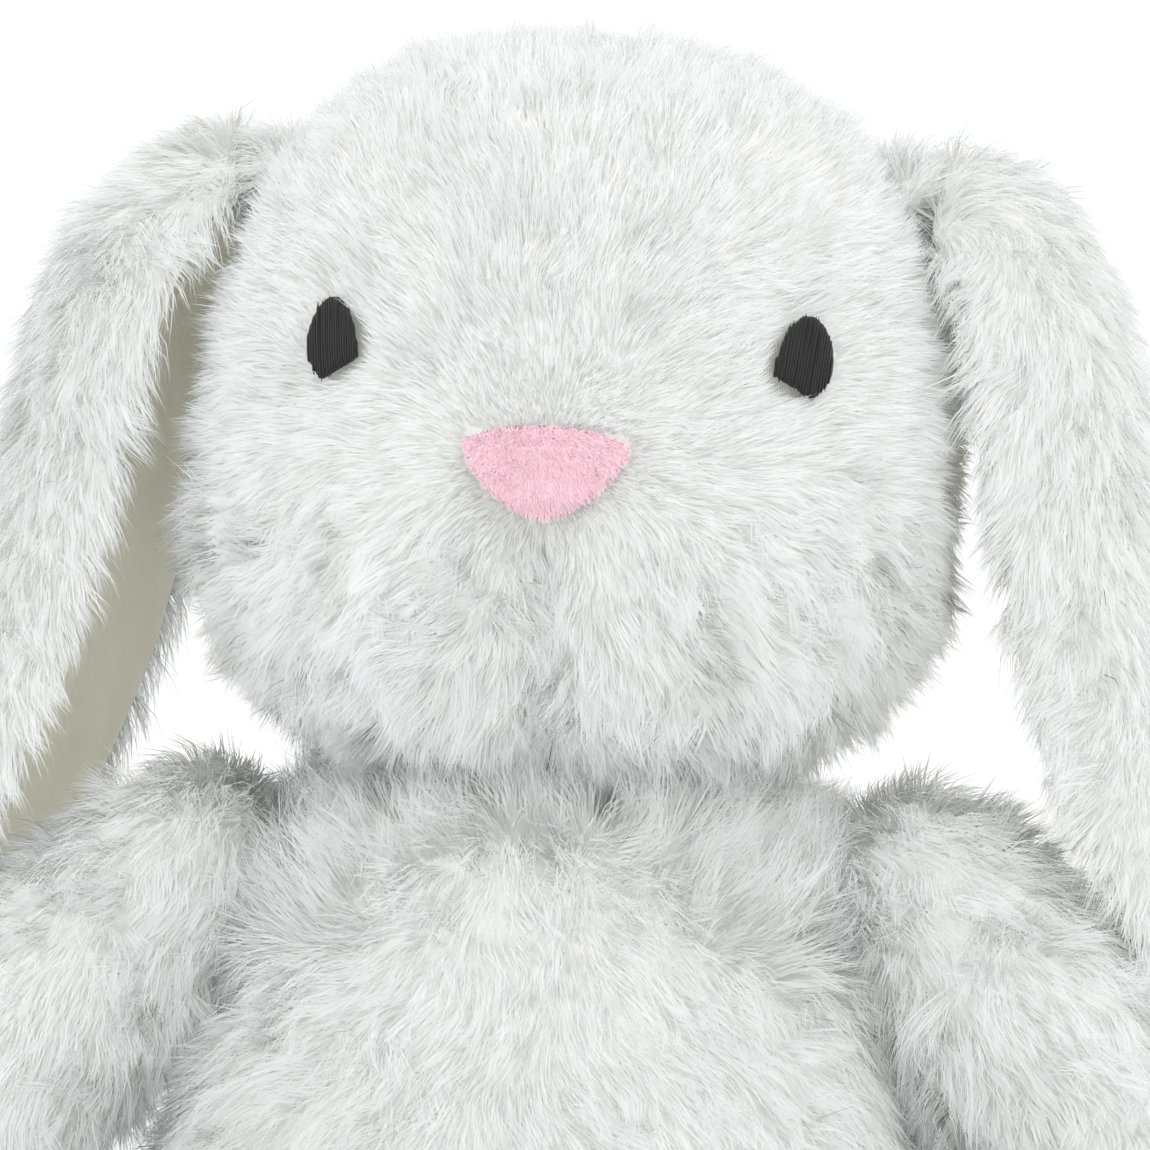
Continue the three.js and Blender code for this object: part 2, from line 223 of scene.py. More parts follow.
def triangles_of(mesh):
    mesh.calc_loop_triangles()
    triangles = np.zeros(len(mesh.loop_triangles) * 3, np.int32)
    mesh.loop_triangles.foreach_get("vertices", triangles)
    return triangles.reshape(-1, 3)


def move_to(obj, points):
    obj.data.vertices.foreach_set("co", points.astype(np.float32).ravel())
    obj.data.update()


def tree_of(obj):
    return BVHTree.FromPolygons(
        [tuple(point) for point in points_of(obj.data)],
        [tuple(triangle) for triangle in triangles_of(obj.data).tolist()],
    )


# ------------------------------------------------------------------ materials


class Graph:
    """A material's node tree, with its Principled shader as .shader."""

    def __init__(self, name, roughness, sheen=0.0, sheen_tint=(1, 1, 1)):
        self.material = bpy.data.materials.new(name)
        self.material.use_nodes = True
        self.tree = self.material.node_tree
        self.shader = self.tree.nodes["Principled BSDF"]
        self.shader.inputs["Roughness"].default_value = roughness
        self.shader.inputs["Specular IOR Level"].default_value = 0.25
        self.shader.inputs["Sheen Weight"].default_value = sheen
        self.shader.inputs["Sheen Roughness"].default_value = 0.6
        self.shader.inputs["Sheen Tint"].default_value = (*sheen_tint, 1)

    def node(self, kind, **inputs):
        made = self.tree.nodes.new(kind)
        for name, value in inputs.items():
            made.inputs[name].default_value = value
        return made

    def link(self, source, target):
        self.tree.links.new(source, target)

    def stored(self, name):
        """A value that the mesh stores under a name."""
        made = self.node("ShaderNodeAttribute")
        made.attribute_name = name
        return made.outputs["Fac"]

    def ramp(self, value, stops):
        made = self.node("ShaderNodeValToRGB")
        elements = made.color_ramp.elements
        while len(elements) < len(stops):
            elements.new(0.5)
        for element, (place, colour) in zip(elements, stops):
            element.position = place
            element.color = (*colour, 1)
        self.link(value, made.inputs["Fac"])
        return made.outputs["Color"]

    def noise(self, scale, detail=3.0, stretch=(1, 1, 1)):
        place = self.node("ShaderNodeTexCoord")
        mapping = self.node("ShaderNodeMapping", Scale=stretch)
        noise = self.node("ShaderNodeTexNoise", Scale=scale, Detail=detail)
        self.link(place.outputs["Object"], mapping.inputs["Vector"])
        self.link(mapping.outputs["Vector"], noise.inputs["Vector"])
        return noise.outputs["Fac"]

    def wave(self, scale, direction, distortion):
        place = self.node("ShaderNodeTexCoord")
        wave = self.node("ShaderNodeTexWave", Scale=scale, Distortion=distortion, Detail=2.0)
        wave.bands_direction = direction
        self.link(place.outputs["Object"], wave.inputs["Vector"])
        return wave.outputs["Fac"]

    def multiply(self, a, b):
        made = self.node("ShaderNodeMix", Factor=1.0)
        made.data_type = "RGBA"
        made.blend_type = "MULTIPLY"
        self.link(a, made.inputs[6])
        self.link(b, made.inputs[7])
        return made.outputs[2]

    def colour(self, output):
        self.link(output, self.shader.inputs["Base Color"])

    def let_through(self, colour, share):
        """Lets a share of the light through from behind."""
        through = self.node("ShaderNodeBsdfTranslucent")
        both = self.node("ShaderNodeMixShader", Fac=share)
        self.link(colour, through.inputs["Color"])
        self.link(self.shader.outputs["BSDF"], both.inputs[1])
        self.link(through.outputs["BSDF"], both.inputs[2])
        self.link(both.outputs["Shader"], self.tree.nodes["Material Output"].inputs["Surface"])

    def bump(self, height, strength, distance):
        made = self.node("ShaderNodeBump", Strength=strength, Distance=distance)
        self.link(height, made.inputs["Height"])
        self.link(made.outputs["Normal"], self.shader.inputs["Normal"])


def pile_material():
    """White fibres, with painted shade that makes them warmer and darker towards their roots, and faint
    cool and warm patches.
    """
    graph = Graph("white_pile", roughness=0.9, sheen=0.12)
    # Painted shade: the roots are coloured warmer and darker than the tips, standing in for the shade
    # and warm bounced light deep in the pile.
    fibre = graph.ramp(
        graph.stored("along"),
        [(0.0, (0.89, 0.89, 0.86)), (0.45, (0.935, 0.945, 0.94)), (1.0, (0.945, 0.962, 0.97))],
    )
    tuft = graph.ramp(graph.stored("tone"), [(0.0, (0.98, 0.98, 0.98)), (1.0, (1.0, 1.0, 1.0))])
    patch = graph.ramp(graph.noise(38), [(0.3, (0.994, 1.0, 1.0)), (0.7, (1.0, 1.0, 0.994))])
    white = graph.multiply(graph.multiply(fibre, tuft), patch)
    graph.colour(white)
    graph.let_through(white, SEE_THROUGH)
    return graph.material


def backing_material():
    """The knitted backing cloth between the roots."""
    graph = Graph("backing_cloth", roughness=0.95)
    knit = graph.wave(900, "X", 1.5)
    graph.colour(graph.ramp(knit, [(0.0, (0.79, 0.80, 0.78)), (1.0, (0.85, 0.86, 0.84))]))
    graph.bump(knit, 0.3, 0.2 * MM)
    return graph.material


def lining_material():
    """Smooth short pile, warm beige, faintly brushed along the ear."""
    graph = Graph("ear_lining_cloth", roughness=0.9, sheen=0.35, sheen_tint=(1, 0.97, 0.9))
    brushed = graph.noise(240, 4.0, (1, 1, 0.15))
    graph.colour(graph.ramp(brushed, [(0.3, (0.89, 0.86, 0.73)), (0.7, (0.94, 0.92, 0.80))]))
    graph.bump(graph.noise(1800, 3.0, (1, 1, 0.4)), 0.35, 0.25 * MM)
    return graph.material


def nose_material():
    """Pink short pile on a fine ribbed knit."""
    graph = Graph("pink_nose_pile", roughness=0.9, sheen=0.3, sheen_tint=(1, 0.85, 0.88))
    mottled = graph.noise(900, 4.0)
    graph.colour(graph.ramp(mottled, [(0.3, (0.96, 0.64, 0.72)), (0.7, (0.98, 0.76, 0.83))]))
    graph.bump(graph.noise(2600, 3.0), 0.4, 0.2 * MM)
    return graph.material


def thread_material(name, dark, light, roughness):
    """Twisted thread: fine slanting plies that catch the light, with a painted highlight on each ply
    and painted shade between them.
    """
    graph = Graph(name, roughness=roughness, sheen=0.15)
    twist = graph.wave(1400, "DIAGONAL", 0.4)
    # Painted highlight and shade: the twist that raises the bump also colours the ply ridges lighter
    # and the grooves darker.
    graph.colour(graph.ramp(twist, [(0.0, dark), (1.0, light)]))
    graph.bump(twist, 0.5, 0.1 * MM)
    return graph.material


def fibre_material():
    """Loose polyester filling."""
    graph = Graph("loose_fibre", roughness=1.0, sheen=0.2)
    lumps = graph.noise(300, 6.0)
    graph.colour(graph.ramp(lumps, [(0.3, (0.80, 0.80, 0.78)), (0.7, (0.93, 0.93, 0.92))]))
    graph.bump(lumps, 0.8, 1.0 * MM)
    return graph.material


def canvas_material(name, dark, light, threads, roughness):
    """Plain weave of two crossing sets of threads."""
    graph = Graph(name, roughness=roughness)
    across = graph.ramp(graph.wave(threads, "X", 0.2), [(0.0, dark), (1.0, light)])
    along = graph.wave(threads, "Z", 0.2)
    weave = graph.ramp(along, [(0.0, (0.86, 0.86, 0.86)), (1.0, (1.0, 1.0, 1.0))])
    graph.colour(graph.multiply(across, weave))
    graph.bump(along, 0.4, 0.1 * MM)
    return graph.material


def floor_material():
    graph = Graph("pale_floor", roughness=0.8)
    mottle = graph.noise(3.0)
    graph.colour(graph.ramp(mottle, [(0.3, (0.90, 0.90, 0.90)), (0.7, (0.93, 0.93, 0.93))]))
    return graph.material


PILE = pile_material()
BACKING = backing_material()
LINING = lining_material()
NOSE_CLOTH = nose_material()
BLACK_THREAD = thread_material("black_thread", (0.006, 0.006, 0.006), (0.016, 0.016, 0.016), 0.75)
WHITE_THREAD = thread_material("white_thread", (0.70, 0.68, 0.62), (0.86, 0.85, 0.80), 0.6)
FIBRE = fibre_material()
POUCH = canvas_material("pouch_canvas", (0.62, 0.57, 0.46), (0.76, 0.71, 0.60), 500, 0.9)
SATIN = canvas_material("label_satin", (0.84, 0.84, 0.83), (0.93, 0.93, 0.92), 1400, 0.35)


# ------------------------------------------------------------------ padded forms


def swell(objects):
    """Blows the forms up a little with cloth under pressure, and keeps the result as plain meshes."""
    scene = bpy.context.scene
    starts = {}
    for obj in objects:
        starts[obj] = points_of(obj.data)
        cloth = obj.modifiers.new("cloth", "CLOTH")
        cloth.settings.quality = 4
        cloth.settings.use_pressure = True
        cloth.settings.uniform_pressure_force = PRESSURE
        cloth.settings.effector_weights.gravity = 0
        cloth.point_cache.frame_start = 1
        cloth.point_cache.frame_end = CLOTH_FRAMES
    for step in range(1, CLOTH_FRAMES + 1):
        scene.frame_set(step)
    graph = bpy.context.evaluated_depsgraph_get()
    swollen = {obj: points_of(obj.evaluated_get(graph).data) for obj in objects}
    for obj in objects:
        obj.modifiers.clear()
        moved = swollen[obj] - starts[obj]
        length = np.linalg.norm(moved, axis=1, keepdims=True)
        move_to(obj, starts[obj] + moved * np.minimum(1, SWELL / np.maximum(length, 1e-9)))
    scene.frame_set(1)


def head_shape(points, normals):
    """How far the head's form stands out: a cleft under the nose, full cheeks and shallow sockets."""
    x, y, z = points.T
    front = smooth(-normals[:, 1], 0.1, 0.6)
    low, top = NOSE_LOW[2], NOSE_HIGH[2]
    under = smooth(low - z, -2 * MM, 8 * MM)
    cleft = -6.5 * MM * bump_at(x, 0, 4.5 * MM) * under
    parting = -1.0 * MM * bump_at(x, 0, 4 * MM) * smooth(z, top + 4 * MM, top + 20 * MM)
    cheek_x = bump_at(np.abs(x), 17 * MM, 14 * MM)
    cheeks = 3.5 * MM * cheek_x * bump_at(z, low - 20 * MM, 14 * MM)
    sockets = sum(
        -1.5 * MM * bump_at(x, eye[0], 9 * MM) * bump_at(z, eye[2], 11 * MM) for eye in EYES.values()
    )
    jaw_x = bump_at(np.abs(x), HEAD_HIGH[0] - 6 * MM, 12 * MM)
    jaws = -3.5 * MM * jaw_x * bump_at(z, HEAD_LOW[2] + 8 * MM, 12 * MM)
    under_chin = -CLOTH * smooth(-normals[:, 2], 0.5, 0.9)
    return CLOTH + (cleft + parting + cheeks + sockets) * front + jaws + under_chin


def torso_shape(points, normals):
    """How far the torso's form stands out: a seam down the middle of the front and of the back, round
    shoulders, and a collar under the chin."""
    x, y, z = points.T
    seam = -1.6 * MM * bump_at(x, 0, 3 * MM) * smooth(np.abs(normals[:, 1]), 0.2, 0.7)
    shoulder_z = bump_at(z, NECK_HEIGHT - 17 * MM, 14 * MM)
    shoulders = 4 * MM * bump_at(np.abs(x), 36 * MM, 10 * MM) * shoulder_z
    collar_z = bump_at(z, NECK_HEIGHT - 12 * MM, 7 * MM)
    collar = 3 * MM * collar_z * smooth(-normals[:, 1], 0.1, 0.6)
    return CLOTH + seam + np.maximum(shoulders, collar)


def plain_shape(points, normals):
    """The other forms only grow by the cloth."""
    return np.full(len(points), CLOTH)


def shape_form(obj, form):
    """Moves a form's surface out or in, and keeps it flat where it rests on the floor."""
    points, normals = points_of(obj.data), normals_of(obj.data)
    points += normals * form(points, normals)[:, None]
    points[:, 2] = np.maximum(points[:, 2], FLOOR_CLEARANCE)
    move_to(obj, points)


# Each filled part: its CAD filling, its body, how firmly it is filled and its shape
FILLED = {
    "head": ("head_stuffing", "head", 0.85, head_shape),
    "torso": ("torso_stuffing", "torso", 0.8, torso_shape),
    "tail": ("tail_stuffing", "torso", 0.7, plain_shape),
}
for limb in ("arm_left", "leg_left", "arm_right", "leg_right"):
    FILLED[limb] = (limb.replace("_", "_stuffing_"), limb, 0.75, plain_shape)


def make_pads():
    pads = {}
    for part, (filling, *_) in FILLED.items():
        obj = copy_of(f"{part}_padding", filling)
        remesh(obj, VOXEL, relax=2)
        obj.data.materials.append(BACKING)
        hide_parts(filling)
        pads[part] = obj
    swell(list(pads.values()))
    for part, (_, body, fill, form) in FILLED.items():
        subdivide(pads[part], 1)
        shape_form(pads[part], form)
        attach(pads[part], body)
    return pads


# ------------------------------------------------------------------ pile


def scatter(mesh, density, rng):
    """Roots spread evenly over a mesh: their triangle, point and normal. The density is a number of
    roots on a square millimetre, or a function of the place that gives it."""
    points, normals, triangles = points_of(mesh), normals_of(mesh), triangles_of(mesh)
    a, b, c = (points[triangles[:, i]] for i in range(3))
    area = np.linalg.norm(np.cross(b - a, c - a), axis=1) / 2
    fullness = density((a + b + c) / 3) if callable(density) else density
    wanted = area * (fullness / MM ** 2)
    count = np.floor(wanted + rng.random(len(wanted))).astype(int)
    chosen = np.repeat(np.arange(len(triangles)), count)
    u, v = rng.random(len(chosen)), rng.random(len(chosen))
    folded = u + v > 1
    u[folded], v[folded] = 1 - u[folded], 1 - v[folded]
    weights = np.stack([1 - u - v, u, v], 1)[:, :, None]
    corners = triangles[chosen]
    root = (points[corners] * weights).sum(1)
    normal = unit((normals[corners] * weights).sum(1))
    return chosen, root, normal


def groups(points, spacing, rng):
    """For each point, the number of the nearest of a set of centres about a spacing apart, and the
    index of that centre among the points."""
    cells = np.floor(points / spacing + rng.random(3)).astype(np.int64)
    large_primes = np.array([73856093, 19349663, 83492791])
    keys = (cells * large_primes).sum(1)
    _, first = np.unique(keys, return_index=True)
    tree = KDTree(len(first))
    for number, index in enumerate(first):
        tree.insert(points[index], number)
    tree.balance()
    number = np.array([tree.find(point)[1] for point in points])
    return number, first[number]


def panel_of_triangles(mesh, panels):
    """Which CAD panel lies nearest to each triangle of a padded form."""
    if len(panels) == 1:
        return np.zeros(len(triangles_of(mesh)), int)
    centres = points_of(mesh)[triangles_of(mesh)].mean(1)
    trees = []
    for panel in panels:
        cad = NODES[panel].data
        trees.append(BVHTree.FromPolygons(
            [tuple(vertex.co) for vertex in cad.vertices],
            [tuple(polygon.vertices) for polygon in cad.polygons],
        ))
    reach = np.array([
        [tree.find_nearest(Vector(centre))[3] for tree in trees] for centre in centres
    ])
    return reach.argmin(1)


def strands(root, normal, groom, rng):
    """The root, middle and tip of every fibre, and its tone. groom gives the flow over the surface,
    how flat the fibre lies, its length and how much it curls, for each root."""
    flow, lay, length, curl = groom(root, normal)
    flow = unit(flow - normal * dot(flow, normal))
    lay, length, curl = lay[:, None], length[:, None], curl[:, None]
    tuft, tuft_head = groups(root, TUFT_SPACING, rng)
    lock, _ = groups(root, LOCK_SPACING, rng)
    lock_turn = rng.normal(size=(lock.max() + 1, 3))[lock]
    tuft_turn = rng.normal(size=(tuft.max() + 1, 3))[tuft]
    own_turn = rng.normal(size=root.shape)
    turn = (LOCK_TURN * lock_turn + TUFT_TURN * tuft_turn) * curl + FIBRE_TURN * own_turn
    rise = unit(normal * (1 - lay) + flow * lay + 0.6 * turn)
    fall = unit(normal * (0.55 - 0.5 * lay) + flow * (0.25 + lay) + turn - [0, 0, DROOP])
    length = length * (0.82 + 0.17 * rng.normal(size=length.shape)).clip(0.35, 1.15)
    length = length * (1 + 0.08 * rng.normal(size=(tuft.max() + 1, 1))[tuft]).clip(0.7, 1.3)
    mid = root + rise * length * 0.5
    tip = mid + fall * length * 0.5
    gather = 0.12 + 0.28 * curl.clip(0, 1)
    mid = mix(mid, mid[tuft_head], 0.3 * gather)
    tip = mix(tip, tip[tuft_head], gather)
    tone = 0.5 * rng.random(tuft.max() + 1)[tuft] + 0.5 * rng.random(len(root))
    return root - normal * ROOT_DEPTH, mid, tip, tone


def blades(name, root, mid, tip, normal, tone, width, material, rng):
    """Each fibre as a narrow tapering blade that bends once and faces outwards."""
    count = len(root)
    run = unit(tip - root)
    across = unit(np.cross(run, normal) + 1e-6)
    lift = np.cross(across, run)
    twist = rng.normal(size=(count, 1)) * 0.5
    across = across * np.cos(twist) + lift * np.sin(twist)
    half = across * width * 0.5
    points = np.stack([root - half, root + half, mid - half * 0.85, mid + half * 0.85, tip], 1)
    points[:, :, 2] = np.maximum(points[:, :, 2], FLOOR_CLEARANCE)
    first = np.arange(count)[:, None] * 5
    triangles = np.concatenate([first + [0, 1, 3], first + [0, 3, 2], first + [2, 3, 4]])
    mesh = triangle_mesh(name, points.reshape(-1, 3), triangles)
    for key, values in (("along", np.tile([0, 0, 0.5, 0.5, 1.0], count)), ("tone", np.repeat(tone, 5))):
        layer = mesh.attributes.new(key, "FLOAT", "POINT")
        layer.data.foreach_set("value", values.astype(np.float32))
    facing = unit(np.repeat(0.8 * normal + 0.16 * lift + SOFT_LIGHT, 5, axis=0))
    mesh.normals_split_custom_set_from_vertices(facing.astype(np.float32))
    mesh.materials.append(material)
    return show(name, mesh)


def fuller_in_front(fibres, seam):
    """A density with one value in front of a seam and another behind it."""
    front, behind = fibres
    return lambda place: np.where(place[:, 1] < seam, front, behind)


def in_eye(points, eye, share):
    """Points inside a share of an eye's oval seen from the front of the face."""
    across = (points[:, 0] - eye[0]) / (EYE_HALF[0] * share)
    up = (points[:, 2] - eye[2]) / (EYE_HALF[2] * share)
    return (across ** 2 + up ** 2 < 1) & (points[:, 1] < 0)


def in_nose(points, grow):
    """Points inside the nose's rounded triangle seen from the front."""
    low, high = NOSE_LOW[2] - grow, NOSE_HIGH[2] + grow
    half = (NOSE_HIGH[0] - NOSE_LOW[0]) / 2 + grow
    up = (points[:, 2] - low) / (high - low)
    inside = (up > 0) & (up < 1) & (np.abs(points[:, 0]) < half * smooth(up, -0.25, 0.75))
    return inside & (points[:, 1] < 0)


def clear_of_face(root, mid, tip, rng):
    """Leaves out the fibres that would cover the eyes or the nose, but for a few strays at its edge."""
    strays = rng.random(len(root)) < 0.12
    along = (mid, tip, (mid + tip) / 2)
    keep = ~in_nose(root, -1.2 * MM)
    for point in along:
        keep &= ~in_nose(point, -0.7 * MM) | (strays & ~in_nose(point, -2.5 * MM))
    for eye in EYES.values():
        keep &= ~in_eye(root, eye, 0.66)
        for point in along:
            keep &= ~in_eye(point, eye, 0.86)
    return keep


def grow_pile(skin, panels, body, groom, density, seed, clear=None):
    """One piece of pile for each CAD panel, growing on a padded form. clear says which fibres stay."""
    rng = np.random.default_rng(seed)
    owner = panel_of_triangles(skin.data, panels)
    chosen, root, normal = scatter(skin.data, density, rng)
    base, mid, tip, tone = strands(root, normal, groom, rng)
    keep = np.ones(len(root), bool) if clear is None else clear(root, mid, tip, rng)
    for number, panel in enumerate(panels):
        own = keep & (owner[chosen] == number)
        obj = blades(
            f"{panel}_pile", base[own], mid[own], tip[own], normal[own], tone[own],
            FIBRE_WIDTH, PILE, rng)
        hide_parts(panel)
        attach(obj, body)
        obj.visible_shadow = False  # light passes between real fibres


# ------------------------------------------------------------------ how the pile lies

# A groom takes roots and the skin's normals there. It gives each fibre's flow over the surface, how
# flat it lies, its length, and how much it curls.


def swirl(p, size):
    """A slow wandering of the pile over the surface, with eddies of about a size."""
    a = p * (2 * math.pi / size)
    x, y, z = a.T
    return np.stack([
        np.sin(1.3 * y + 0.7 * z + 1.1) + np.sin(0.6 * z - 1.1 * x),
        np.sin(1.1 * z + 0.8 * x + 2.3) + np.sin(0.9 * x + 0.5 * y),
        np.sin(0.9 * x - 0.8 * y + 0.4) + np.sin(1.2 * y - 0.7 * x + 4.0),
    ], 1) / 2


def evenly(count, flow, lay, length, curl):
    """A groom's result with the same lay, length and curl everywhere."""
    return flow, np.full(count, lay), np.full(count, length), np.full(count, curl)


def head_groom(p, n):
    """Away from the nose on the face, down at the back, and longer and more curled on the muzzle."""
    away = unit(p - NOSE)
    down = unit(np.stack([0.4 * np.sign(p[:, 0]), 0 * p[:, 0], -np.ones(len(p))], 1))
    behind = smooth(p[:, 1], 5 * MM, 40 * MM)[:, None]
    flow = mix(away, down, behind)
    reach = np.linalg.norm(p - NOSE, axis=1)
    lower = smooth(NOSE[2] - p[:, 2], -5 * MM, 15 * MM)
    chin = smooth(HEAD_LOW[2] + 14 * MM - p[:, 2], 0, 12 * MM)
    chin = chin * (1 - smooth(np.abs(p[:, 0]), 22 * MM, 34 * MM))
    edge = 1 - smooth(reach, 14 * MM, 22 * MM)
    flow = flow + lower[:, None] * np.array([0, 0, -0.5])
    flow[:, 0] += 0.7 * lower * np.sign(p[:, 0]) * np.exp(-np.abs(p[:, 0]) / (7 * MM))
    flow = flow + mix(0.25, 0.6, lower)[:, None] * swirl(p, 34 * MM)
    lay = mix(0.58, 0.50, lower)
    lay = mix(lay, 0.42, edge)
    lay = mix(lay, 0.72, chin)
    eye_reach = [np.linalg.norm((p - eye) * [1, 0.3, 1], axis=1) for eye in EYES.values()]
    near_eye = sum(np.exp(-(distance / (9 * MM)) ** 2) for distance in eye_reach)
    length = mix(4.5, 9.0, smooth(reach, 6 * MM, 34 * MM)) * MM
    length = mix(length, 11.5 * MM, 0.7 * lower * smooth(reach, 8 * MM, 22 * MM))
    length = mix(length, 11.5 * MM, chin)
    length = length * (1 - 0.45 * np.clip(near_eye, 0, 1))
    curl = mix(0.6, 1.5, lower) * smooth(reach, 4 * MM, 24 * MM)
    return flow, lay, length, curl


def torso_groom(p, n):
    """Down and outwards from a parting, but up at the collar, under the chin."""
    outward = p[:, 0] + 3 * MM
    side = np.sign(outward) * smooth(np.abs(outward), 0, 14 * MM)
    edge = NECK_HEIGHT - mix(12, 31, smooth(np.abs(p[:, 0]), 12 * MM, 34 * MM)) * MM
    collar = smooth(p[:, 2] - edge, -8 * MM, 6 * MM)
    flow = np.stack([0.55 * side, 0 * side, mix(-1.0, 1.0, collar)], 1)
    flow = flow + 0.25 * swirl(p, 40 * MM)
    lay = mix(0.56, 0.35, collar) - 1.4 * collar * (1 - collar)
    length = mix(12, 15, collar) * MM
    curl = np.full(len(p), 1.1)
    return flow, lay, length, curl


def limb_groom(start, end, flat):
    """Along a limb, lying flatter and longer away from its joint."""
    axis = unit(end - start)

    def groom(p, n):
        along = (p - start) @ axis
        flow = axis + 0.3 * swirl(p, 36 * MM)
        lay = mix(0.3, flat, smooth(along, 0, 30 * MM))
        length = mix(9.5, 12.5, smooth(along, 0, 20 * MM)) * MM
        return flow, lay, length, np.full(len(p), 1.2)

    return groom


def ear_groom(side):
    """Outwards at the root, then down the ear, and over its rim towards the head."""
    root = joint_point(f"ear_{side}_lift")
    out = SIDES[side]

    def groom(p, n):
        reach = np.linalg.norm(p - root, axis=1)
        share = smooth(reach, 4 * MM, 50 * MM)[:, None]
        flow = mix(np.array([out, 0, 0.15]), np.array([0.22 * out, 0, -1.0]), share)
        rim = smooth(-n[:, 1], 0.35, 0.9)[:, None]
        flow = flow + rim * np.array([-0.75 * out, 0, 0]) + 0.25 * swirl(p, 36 * MM)
        return evenly(len(p), flow, 0.60, 10.5 * MM, 0.9)

    return groom


def tail_groom(p, n):
    """Away from the tail's middle, a little back and down."""
    flow = p - middle("tail_stuffing") + np.array([0, 10 * MM, -5 * MM])
    return evenly(len(p), flow, 0.3, 12 * MM, 1.3)


def sole_groom(p, n):
    flow = np.tile([0, -0.3, -1.0], (len(p), 1)) + 0.4 * swirl(p, 30 * MM)
    return evenly(len(p), flow, 0.6, 8 * MM, 0.9)


def nap_groom(p, n):
    """The nose's short nap: down and across, and a little away from the middle."""
    flow = np.tile([0.35, 0, -1.0], (len(p), 1)) + 0.8 * unit(p - middle("nose"))
    return evenly(len(p), flow, 0.6, 1.5 * MM, 0.4)


# ------------------------------------------------------------------ face

STITCH_SPACING = 0.42 * MM
STITCH_RADIUS = 0.27 * MM
STITCH_SLANT = 0.10
STITCH_POINTS = 12
TUBE_SIDES = 6


def face_patch(name, node, voxel, material, outwards):
    """A CAD patch on the face as a fine mesh with rounded edges, moved outwards a little."""
    obj = copy_of(name, node)
    remesh(obj, voxel, relax=4)
    points = points_of(obj.data)
    points[:, 1] -= outwards
    move_to(obj, points)
    obj.data.materials.append(material)
    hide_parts(node)
    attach(obj, "head")
    return obj


def tube_points(path, radius):
    """Rings of points round a path, closed to a point at both ends."""
    run = unit(np.gradient(path, axis=0))
    across = unit(np.cross(run, np.array([0, -1.0, 0])))
    lift = np.cross(across, run)
    angles = np.arange(TUBE_SIDES) * 2 * math.pi / TUBE_SIDES
    share = np.sqrt(np.clip(1 - np.linspace(-1, 1, len(path)) ** 8, 0.02, 1))[:, None, None]
    ring = across[:, None] * np.cos(angles)[:, None] + lift[:, None] * np.sin(angles)[:, None]
    return path[:, None] + ring * radius * share


def tubes(name, paths, radius, material):
    """A closed round tube along each path, all in one mesh."""
    points, faces, base = [], [], 0
    for path in paths:
        rings = tube_points(path, radius)
        points.append(rings.reshape(-1, 3))
        for i in range(len(path) - 1):
            low, high = base + i * TUBE_SIDES, base + (i + 1) * TUBE_SIDES
            for k in range(TUBE_SIDES):
                after = (k + 1) % TUBE_SIDES
                faces.append((low + k, low + after, high + after, high + k))
        last = base + (len(path) - 1) * TUBE_SIDES
        faces.append(tuple(base + k for k in reversed(range(TUBE_SIDES))))
        faces.append(tuple(last + k for k in range(TUBE_SIDES)))
        base = last + TUBE_SIDES
    mesh = bpy.data.meshes.new(name)
    mesh.from_pydata(np.concatenate(points).tolist(), [], faces)
    mesh.update()
    shade_smooth(mesh)
    mesh.materials.append(material)
    return show(name, mesh)


def embroider_eye(side, rng):
    """A pad of black thread, with satin stitches laid side by side over it."""
    base = face_patch(
        f"eye_{side}_base", f"eye_{side}", 0.6 * MM, BLACK_THREAD, 2.0 * MM)
    surface = tree_of(base)
    low, high = points_of(base.data).min(0), points_of(base.data).max(0)
    heights = np.linspace(low[2] - 1 * MM, high[2] + 1 * MM, 60)
    slant = STITCH_SLANT * SIDES[side]
    paths = []
    for x in np.arange(low[0] + 0.3 * MM, high[0] - 0.2 * MM, STITCH_SPACING):
        found = []
        for z in heights:
            across = x + slant * (z - (low[2] + high[2]) / 2)
            hit = surface.ray_cast(Vector((across, -1, z)), Vector((0, 1, 0)))[0]
            if hit is not None:
                found.append(hit)
        if len(found) < 4:
            continue
        path = np.array(found)
        ends = rng.normal(size=2) * 0.35 * MM
        path[:, 2] += np.linspace(ends[0] - 0.2 * MM, ends[1] + 0.2 * MM, len(path))
        path = path[np.linspace(0, len(path) - 1, STITCH_POINTS).astype(int)]
        path[:, 1] -= 0.10 * MM + 0.25 * MM * np.sin(np.linspace(0, math.pi, STITCH_POINTS))
        paths.append(path)
    stitches = tubes(f"eye_{side}_stitches", paths, STITCH_RADIUS, BLACK_THREAD)
    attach(stitches, "head")


def make_nose(rng):
    """A domed patch of fine ribs with a short pink nap."""
    obj = face_patch("nose_patch", "nose", 0.45 * MM, NOSE_CLOTH, 2.6 * MM)
    points, normals = points_of(obj.data), normals_of(obj.data)
    centre, half = middle("nose"), (NOSE_HIGH - NOSE_LOW) / 2
    across, up = (points[:, 0] - centre[0]) / half[0], (points[:, 2] - centre[2]) / half[2]
    front = smooth(-normals[:, 1], 0.0, 0.5)
    dome = 1.6 * MM * np.clip(1 - across ** 2 - 0.8 * up ** 2, 0, 1)
    ribs = 0.10 * MM * np.sin((points[:, 2] + 0.45 * points[:, 0]) * 2 * math.pi / (0.95 * MM))
    points[:, 1] -= (dome + ribs) * front
    move_to(obj, points)

    _, root, normal = scatter(obj.data, NAP_FIBRES, rng)
    outer = normal[:, 1] < -0.1
    root, normal = root[outer], normal[outer]
    base, mid, tip, tone = strands(root, normal, nap_groom, rng)
    fuzz = blades("nose_nap", base, mid, tip, normal, tone, NAP_WIDTH, NOSE_CLOTH, rng)
    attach(fuzz, "head")


# ------------------------------------------------------------------ ears


def smooth_copy(name, node, levels):
    """A CAD layer made of flat facets, as one smooth surface."""
    obj = copy_of(name, node)
    shape = bmesh.new()
    shape.from_mesh(obj.data)
    bmesh.ops.join_triangles(
        shape, faces=shape.faces, angle_face_threshold=1.2, angle_shape_threshold=1.2)
    shape.to_mesh(obj.data)
    shape.free()
    subdivide(obj, levels)
    return obj


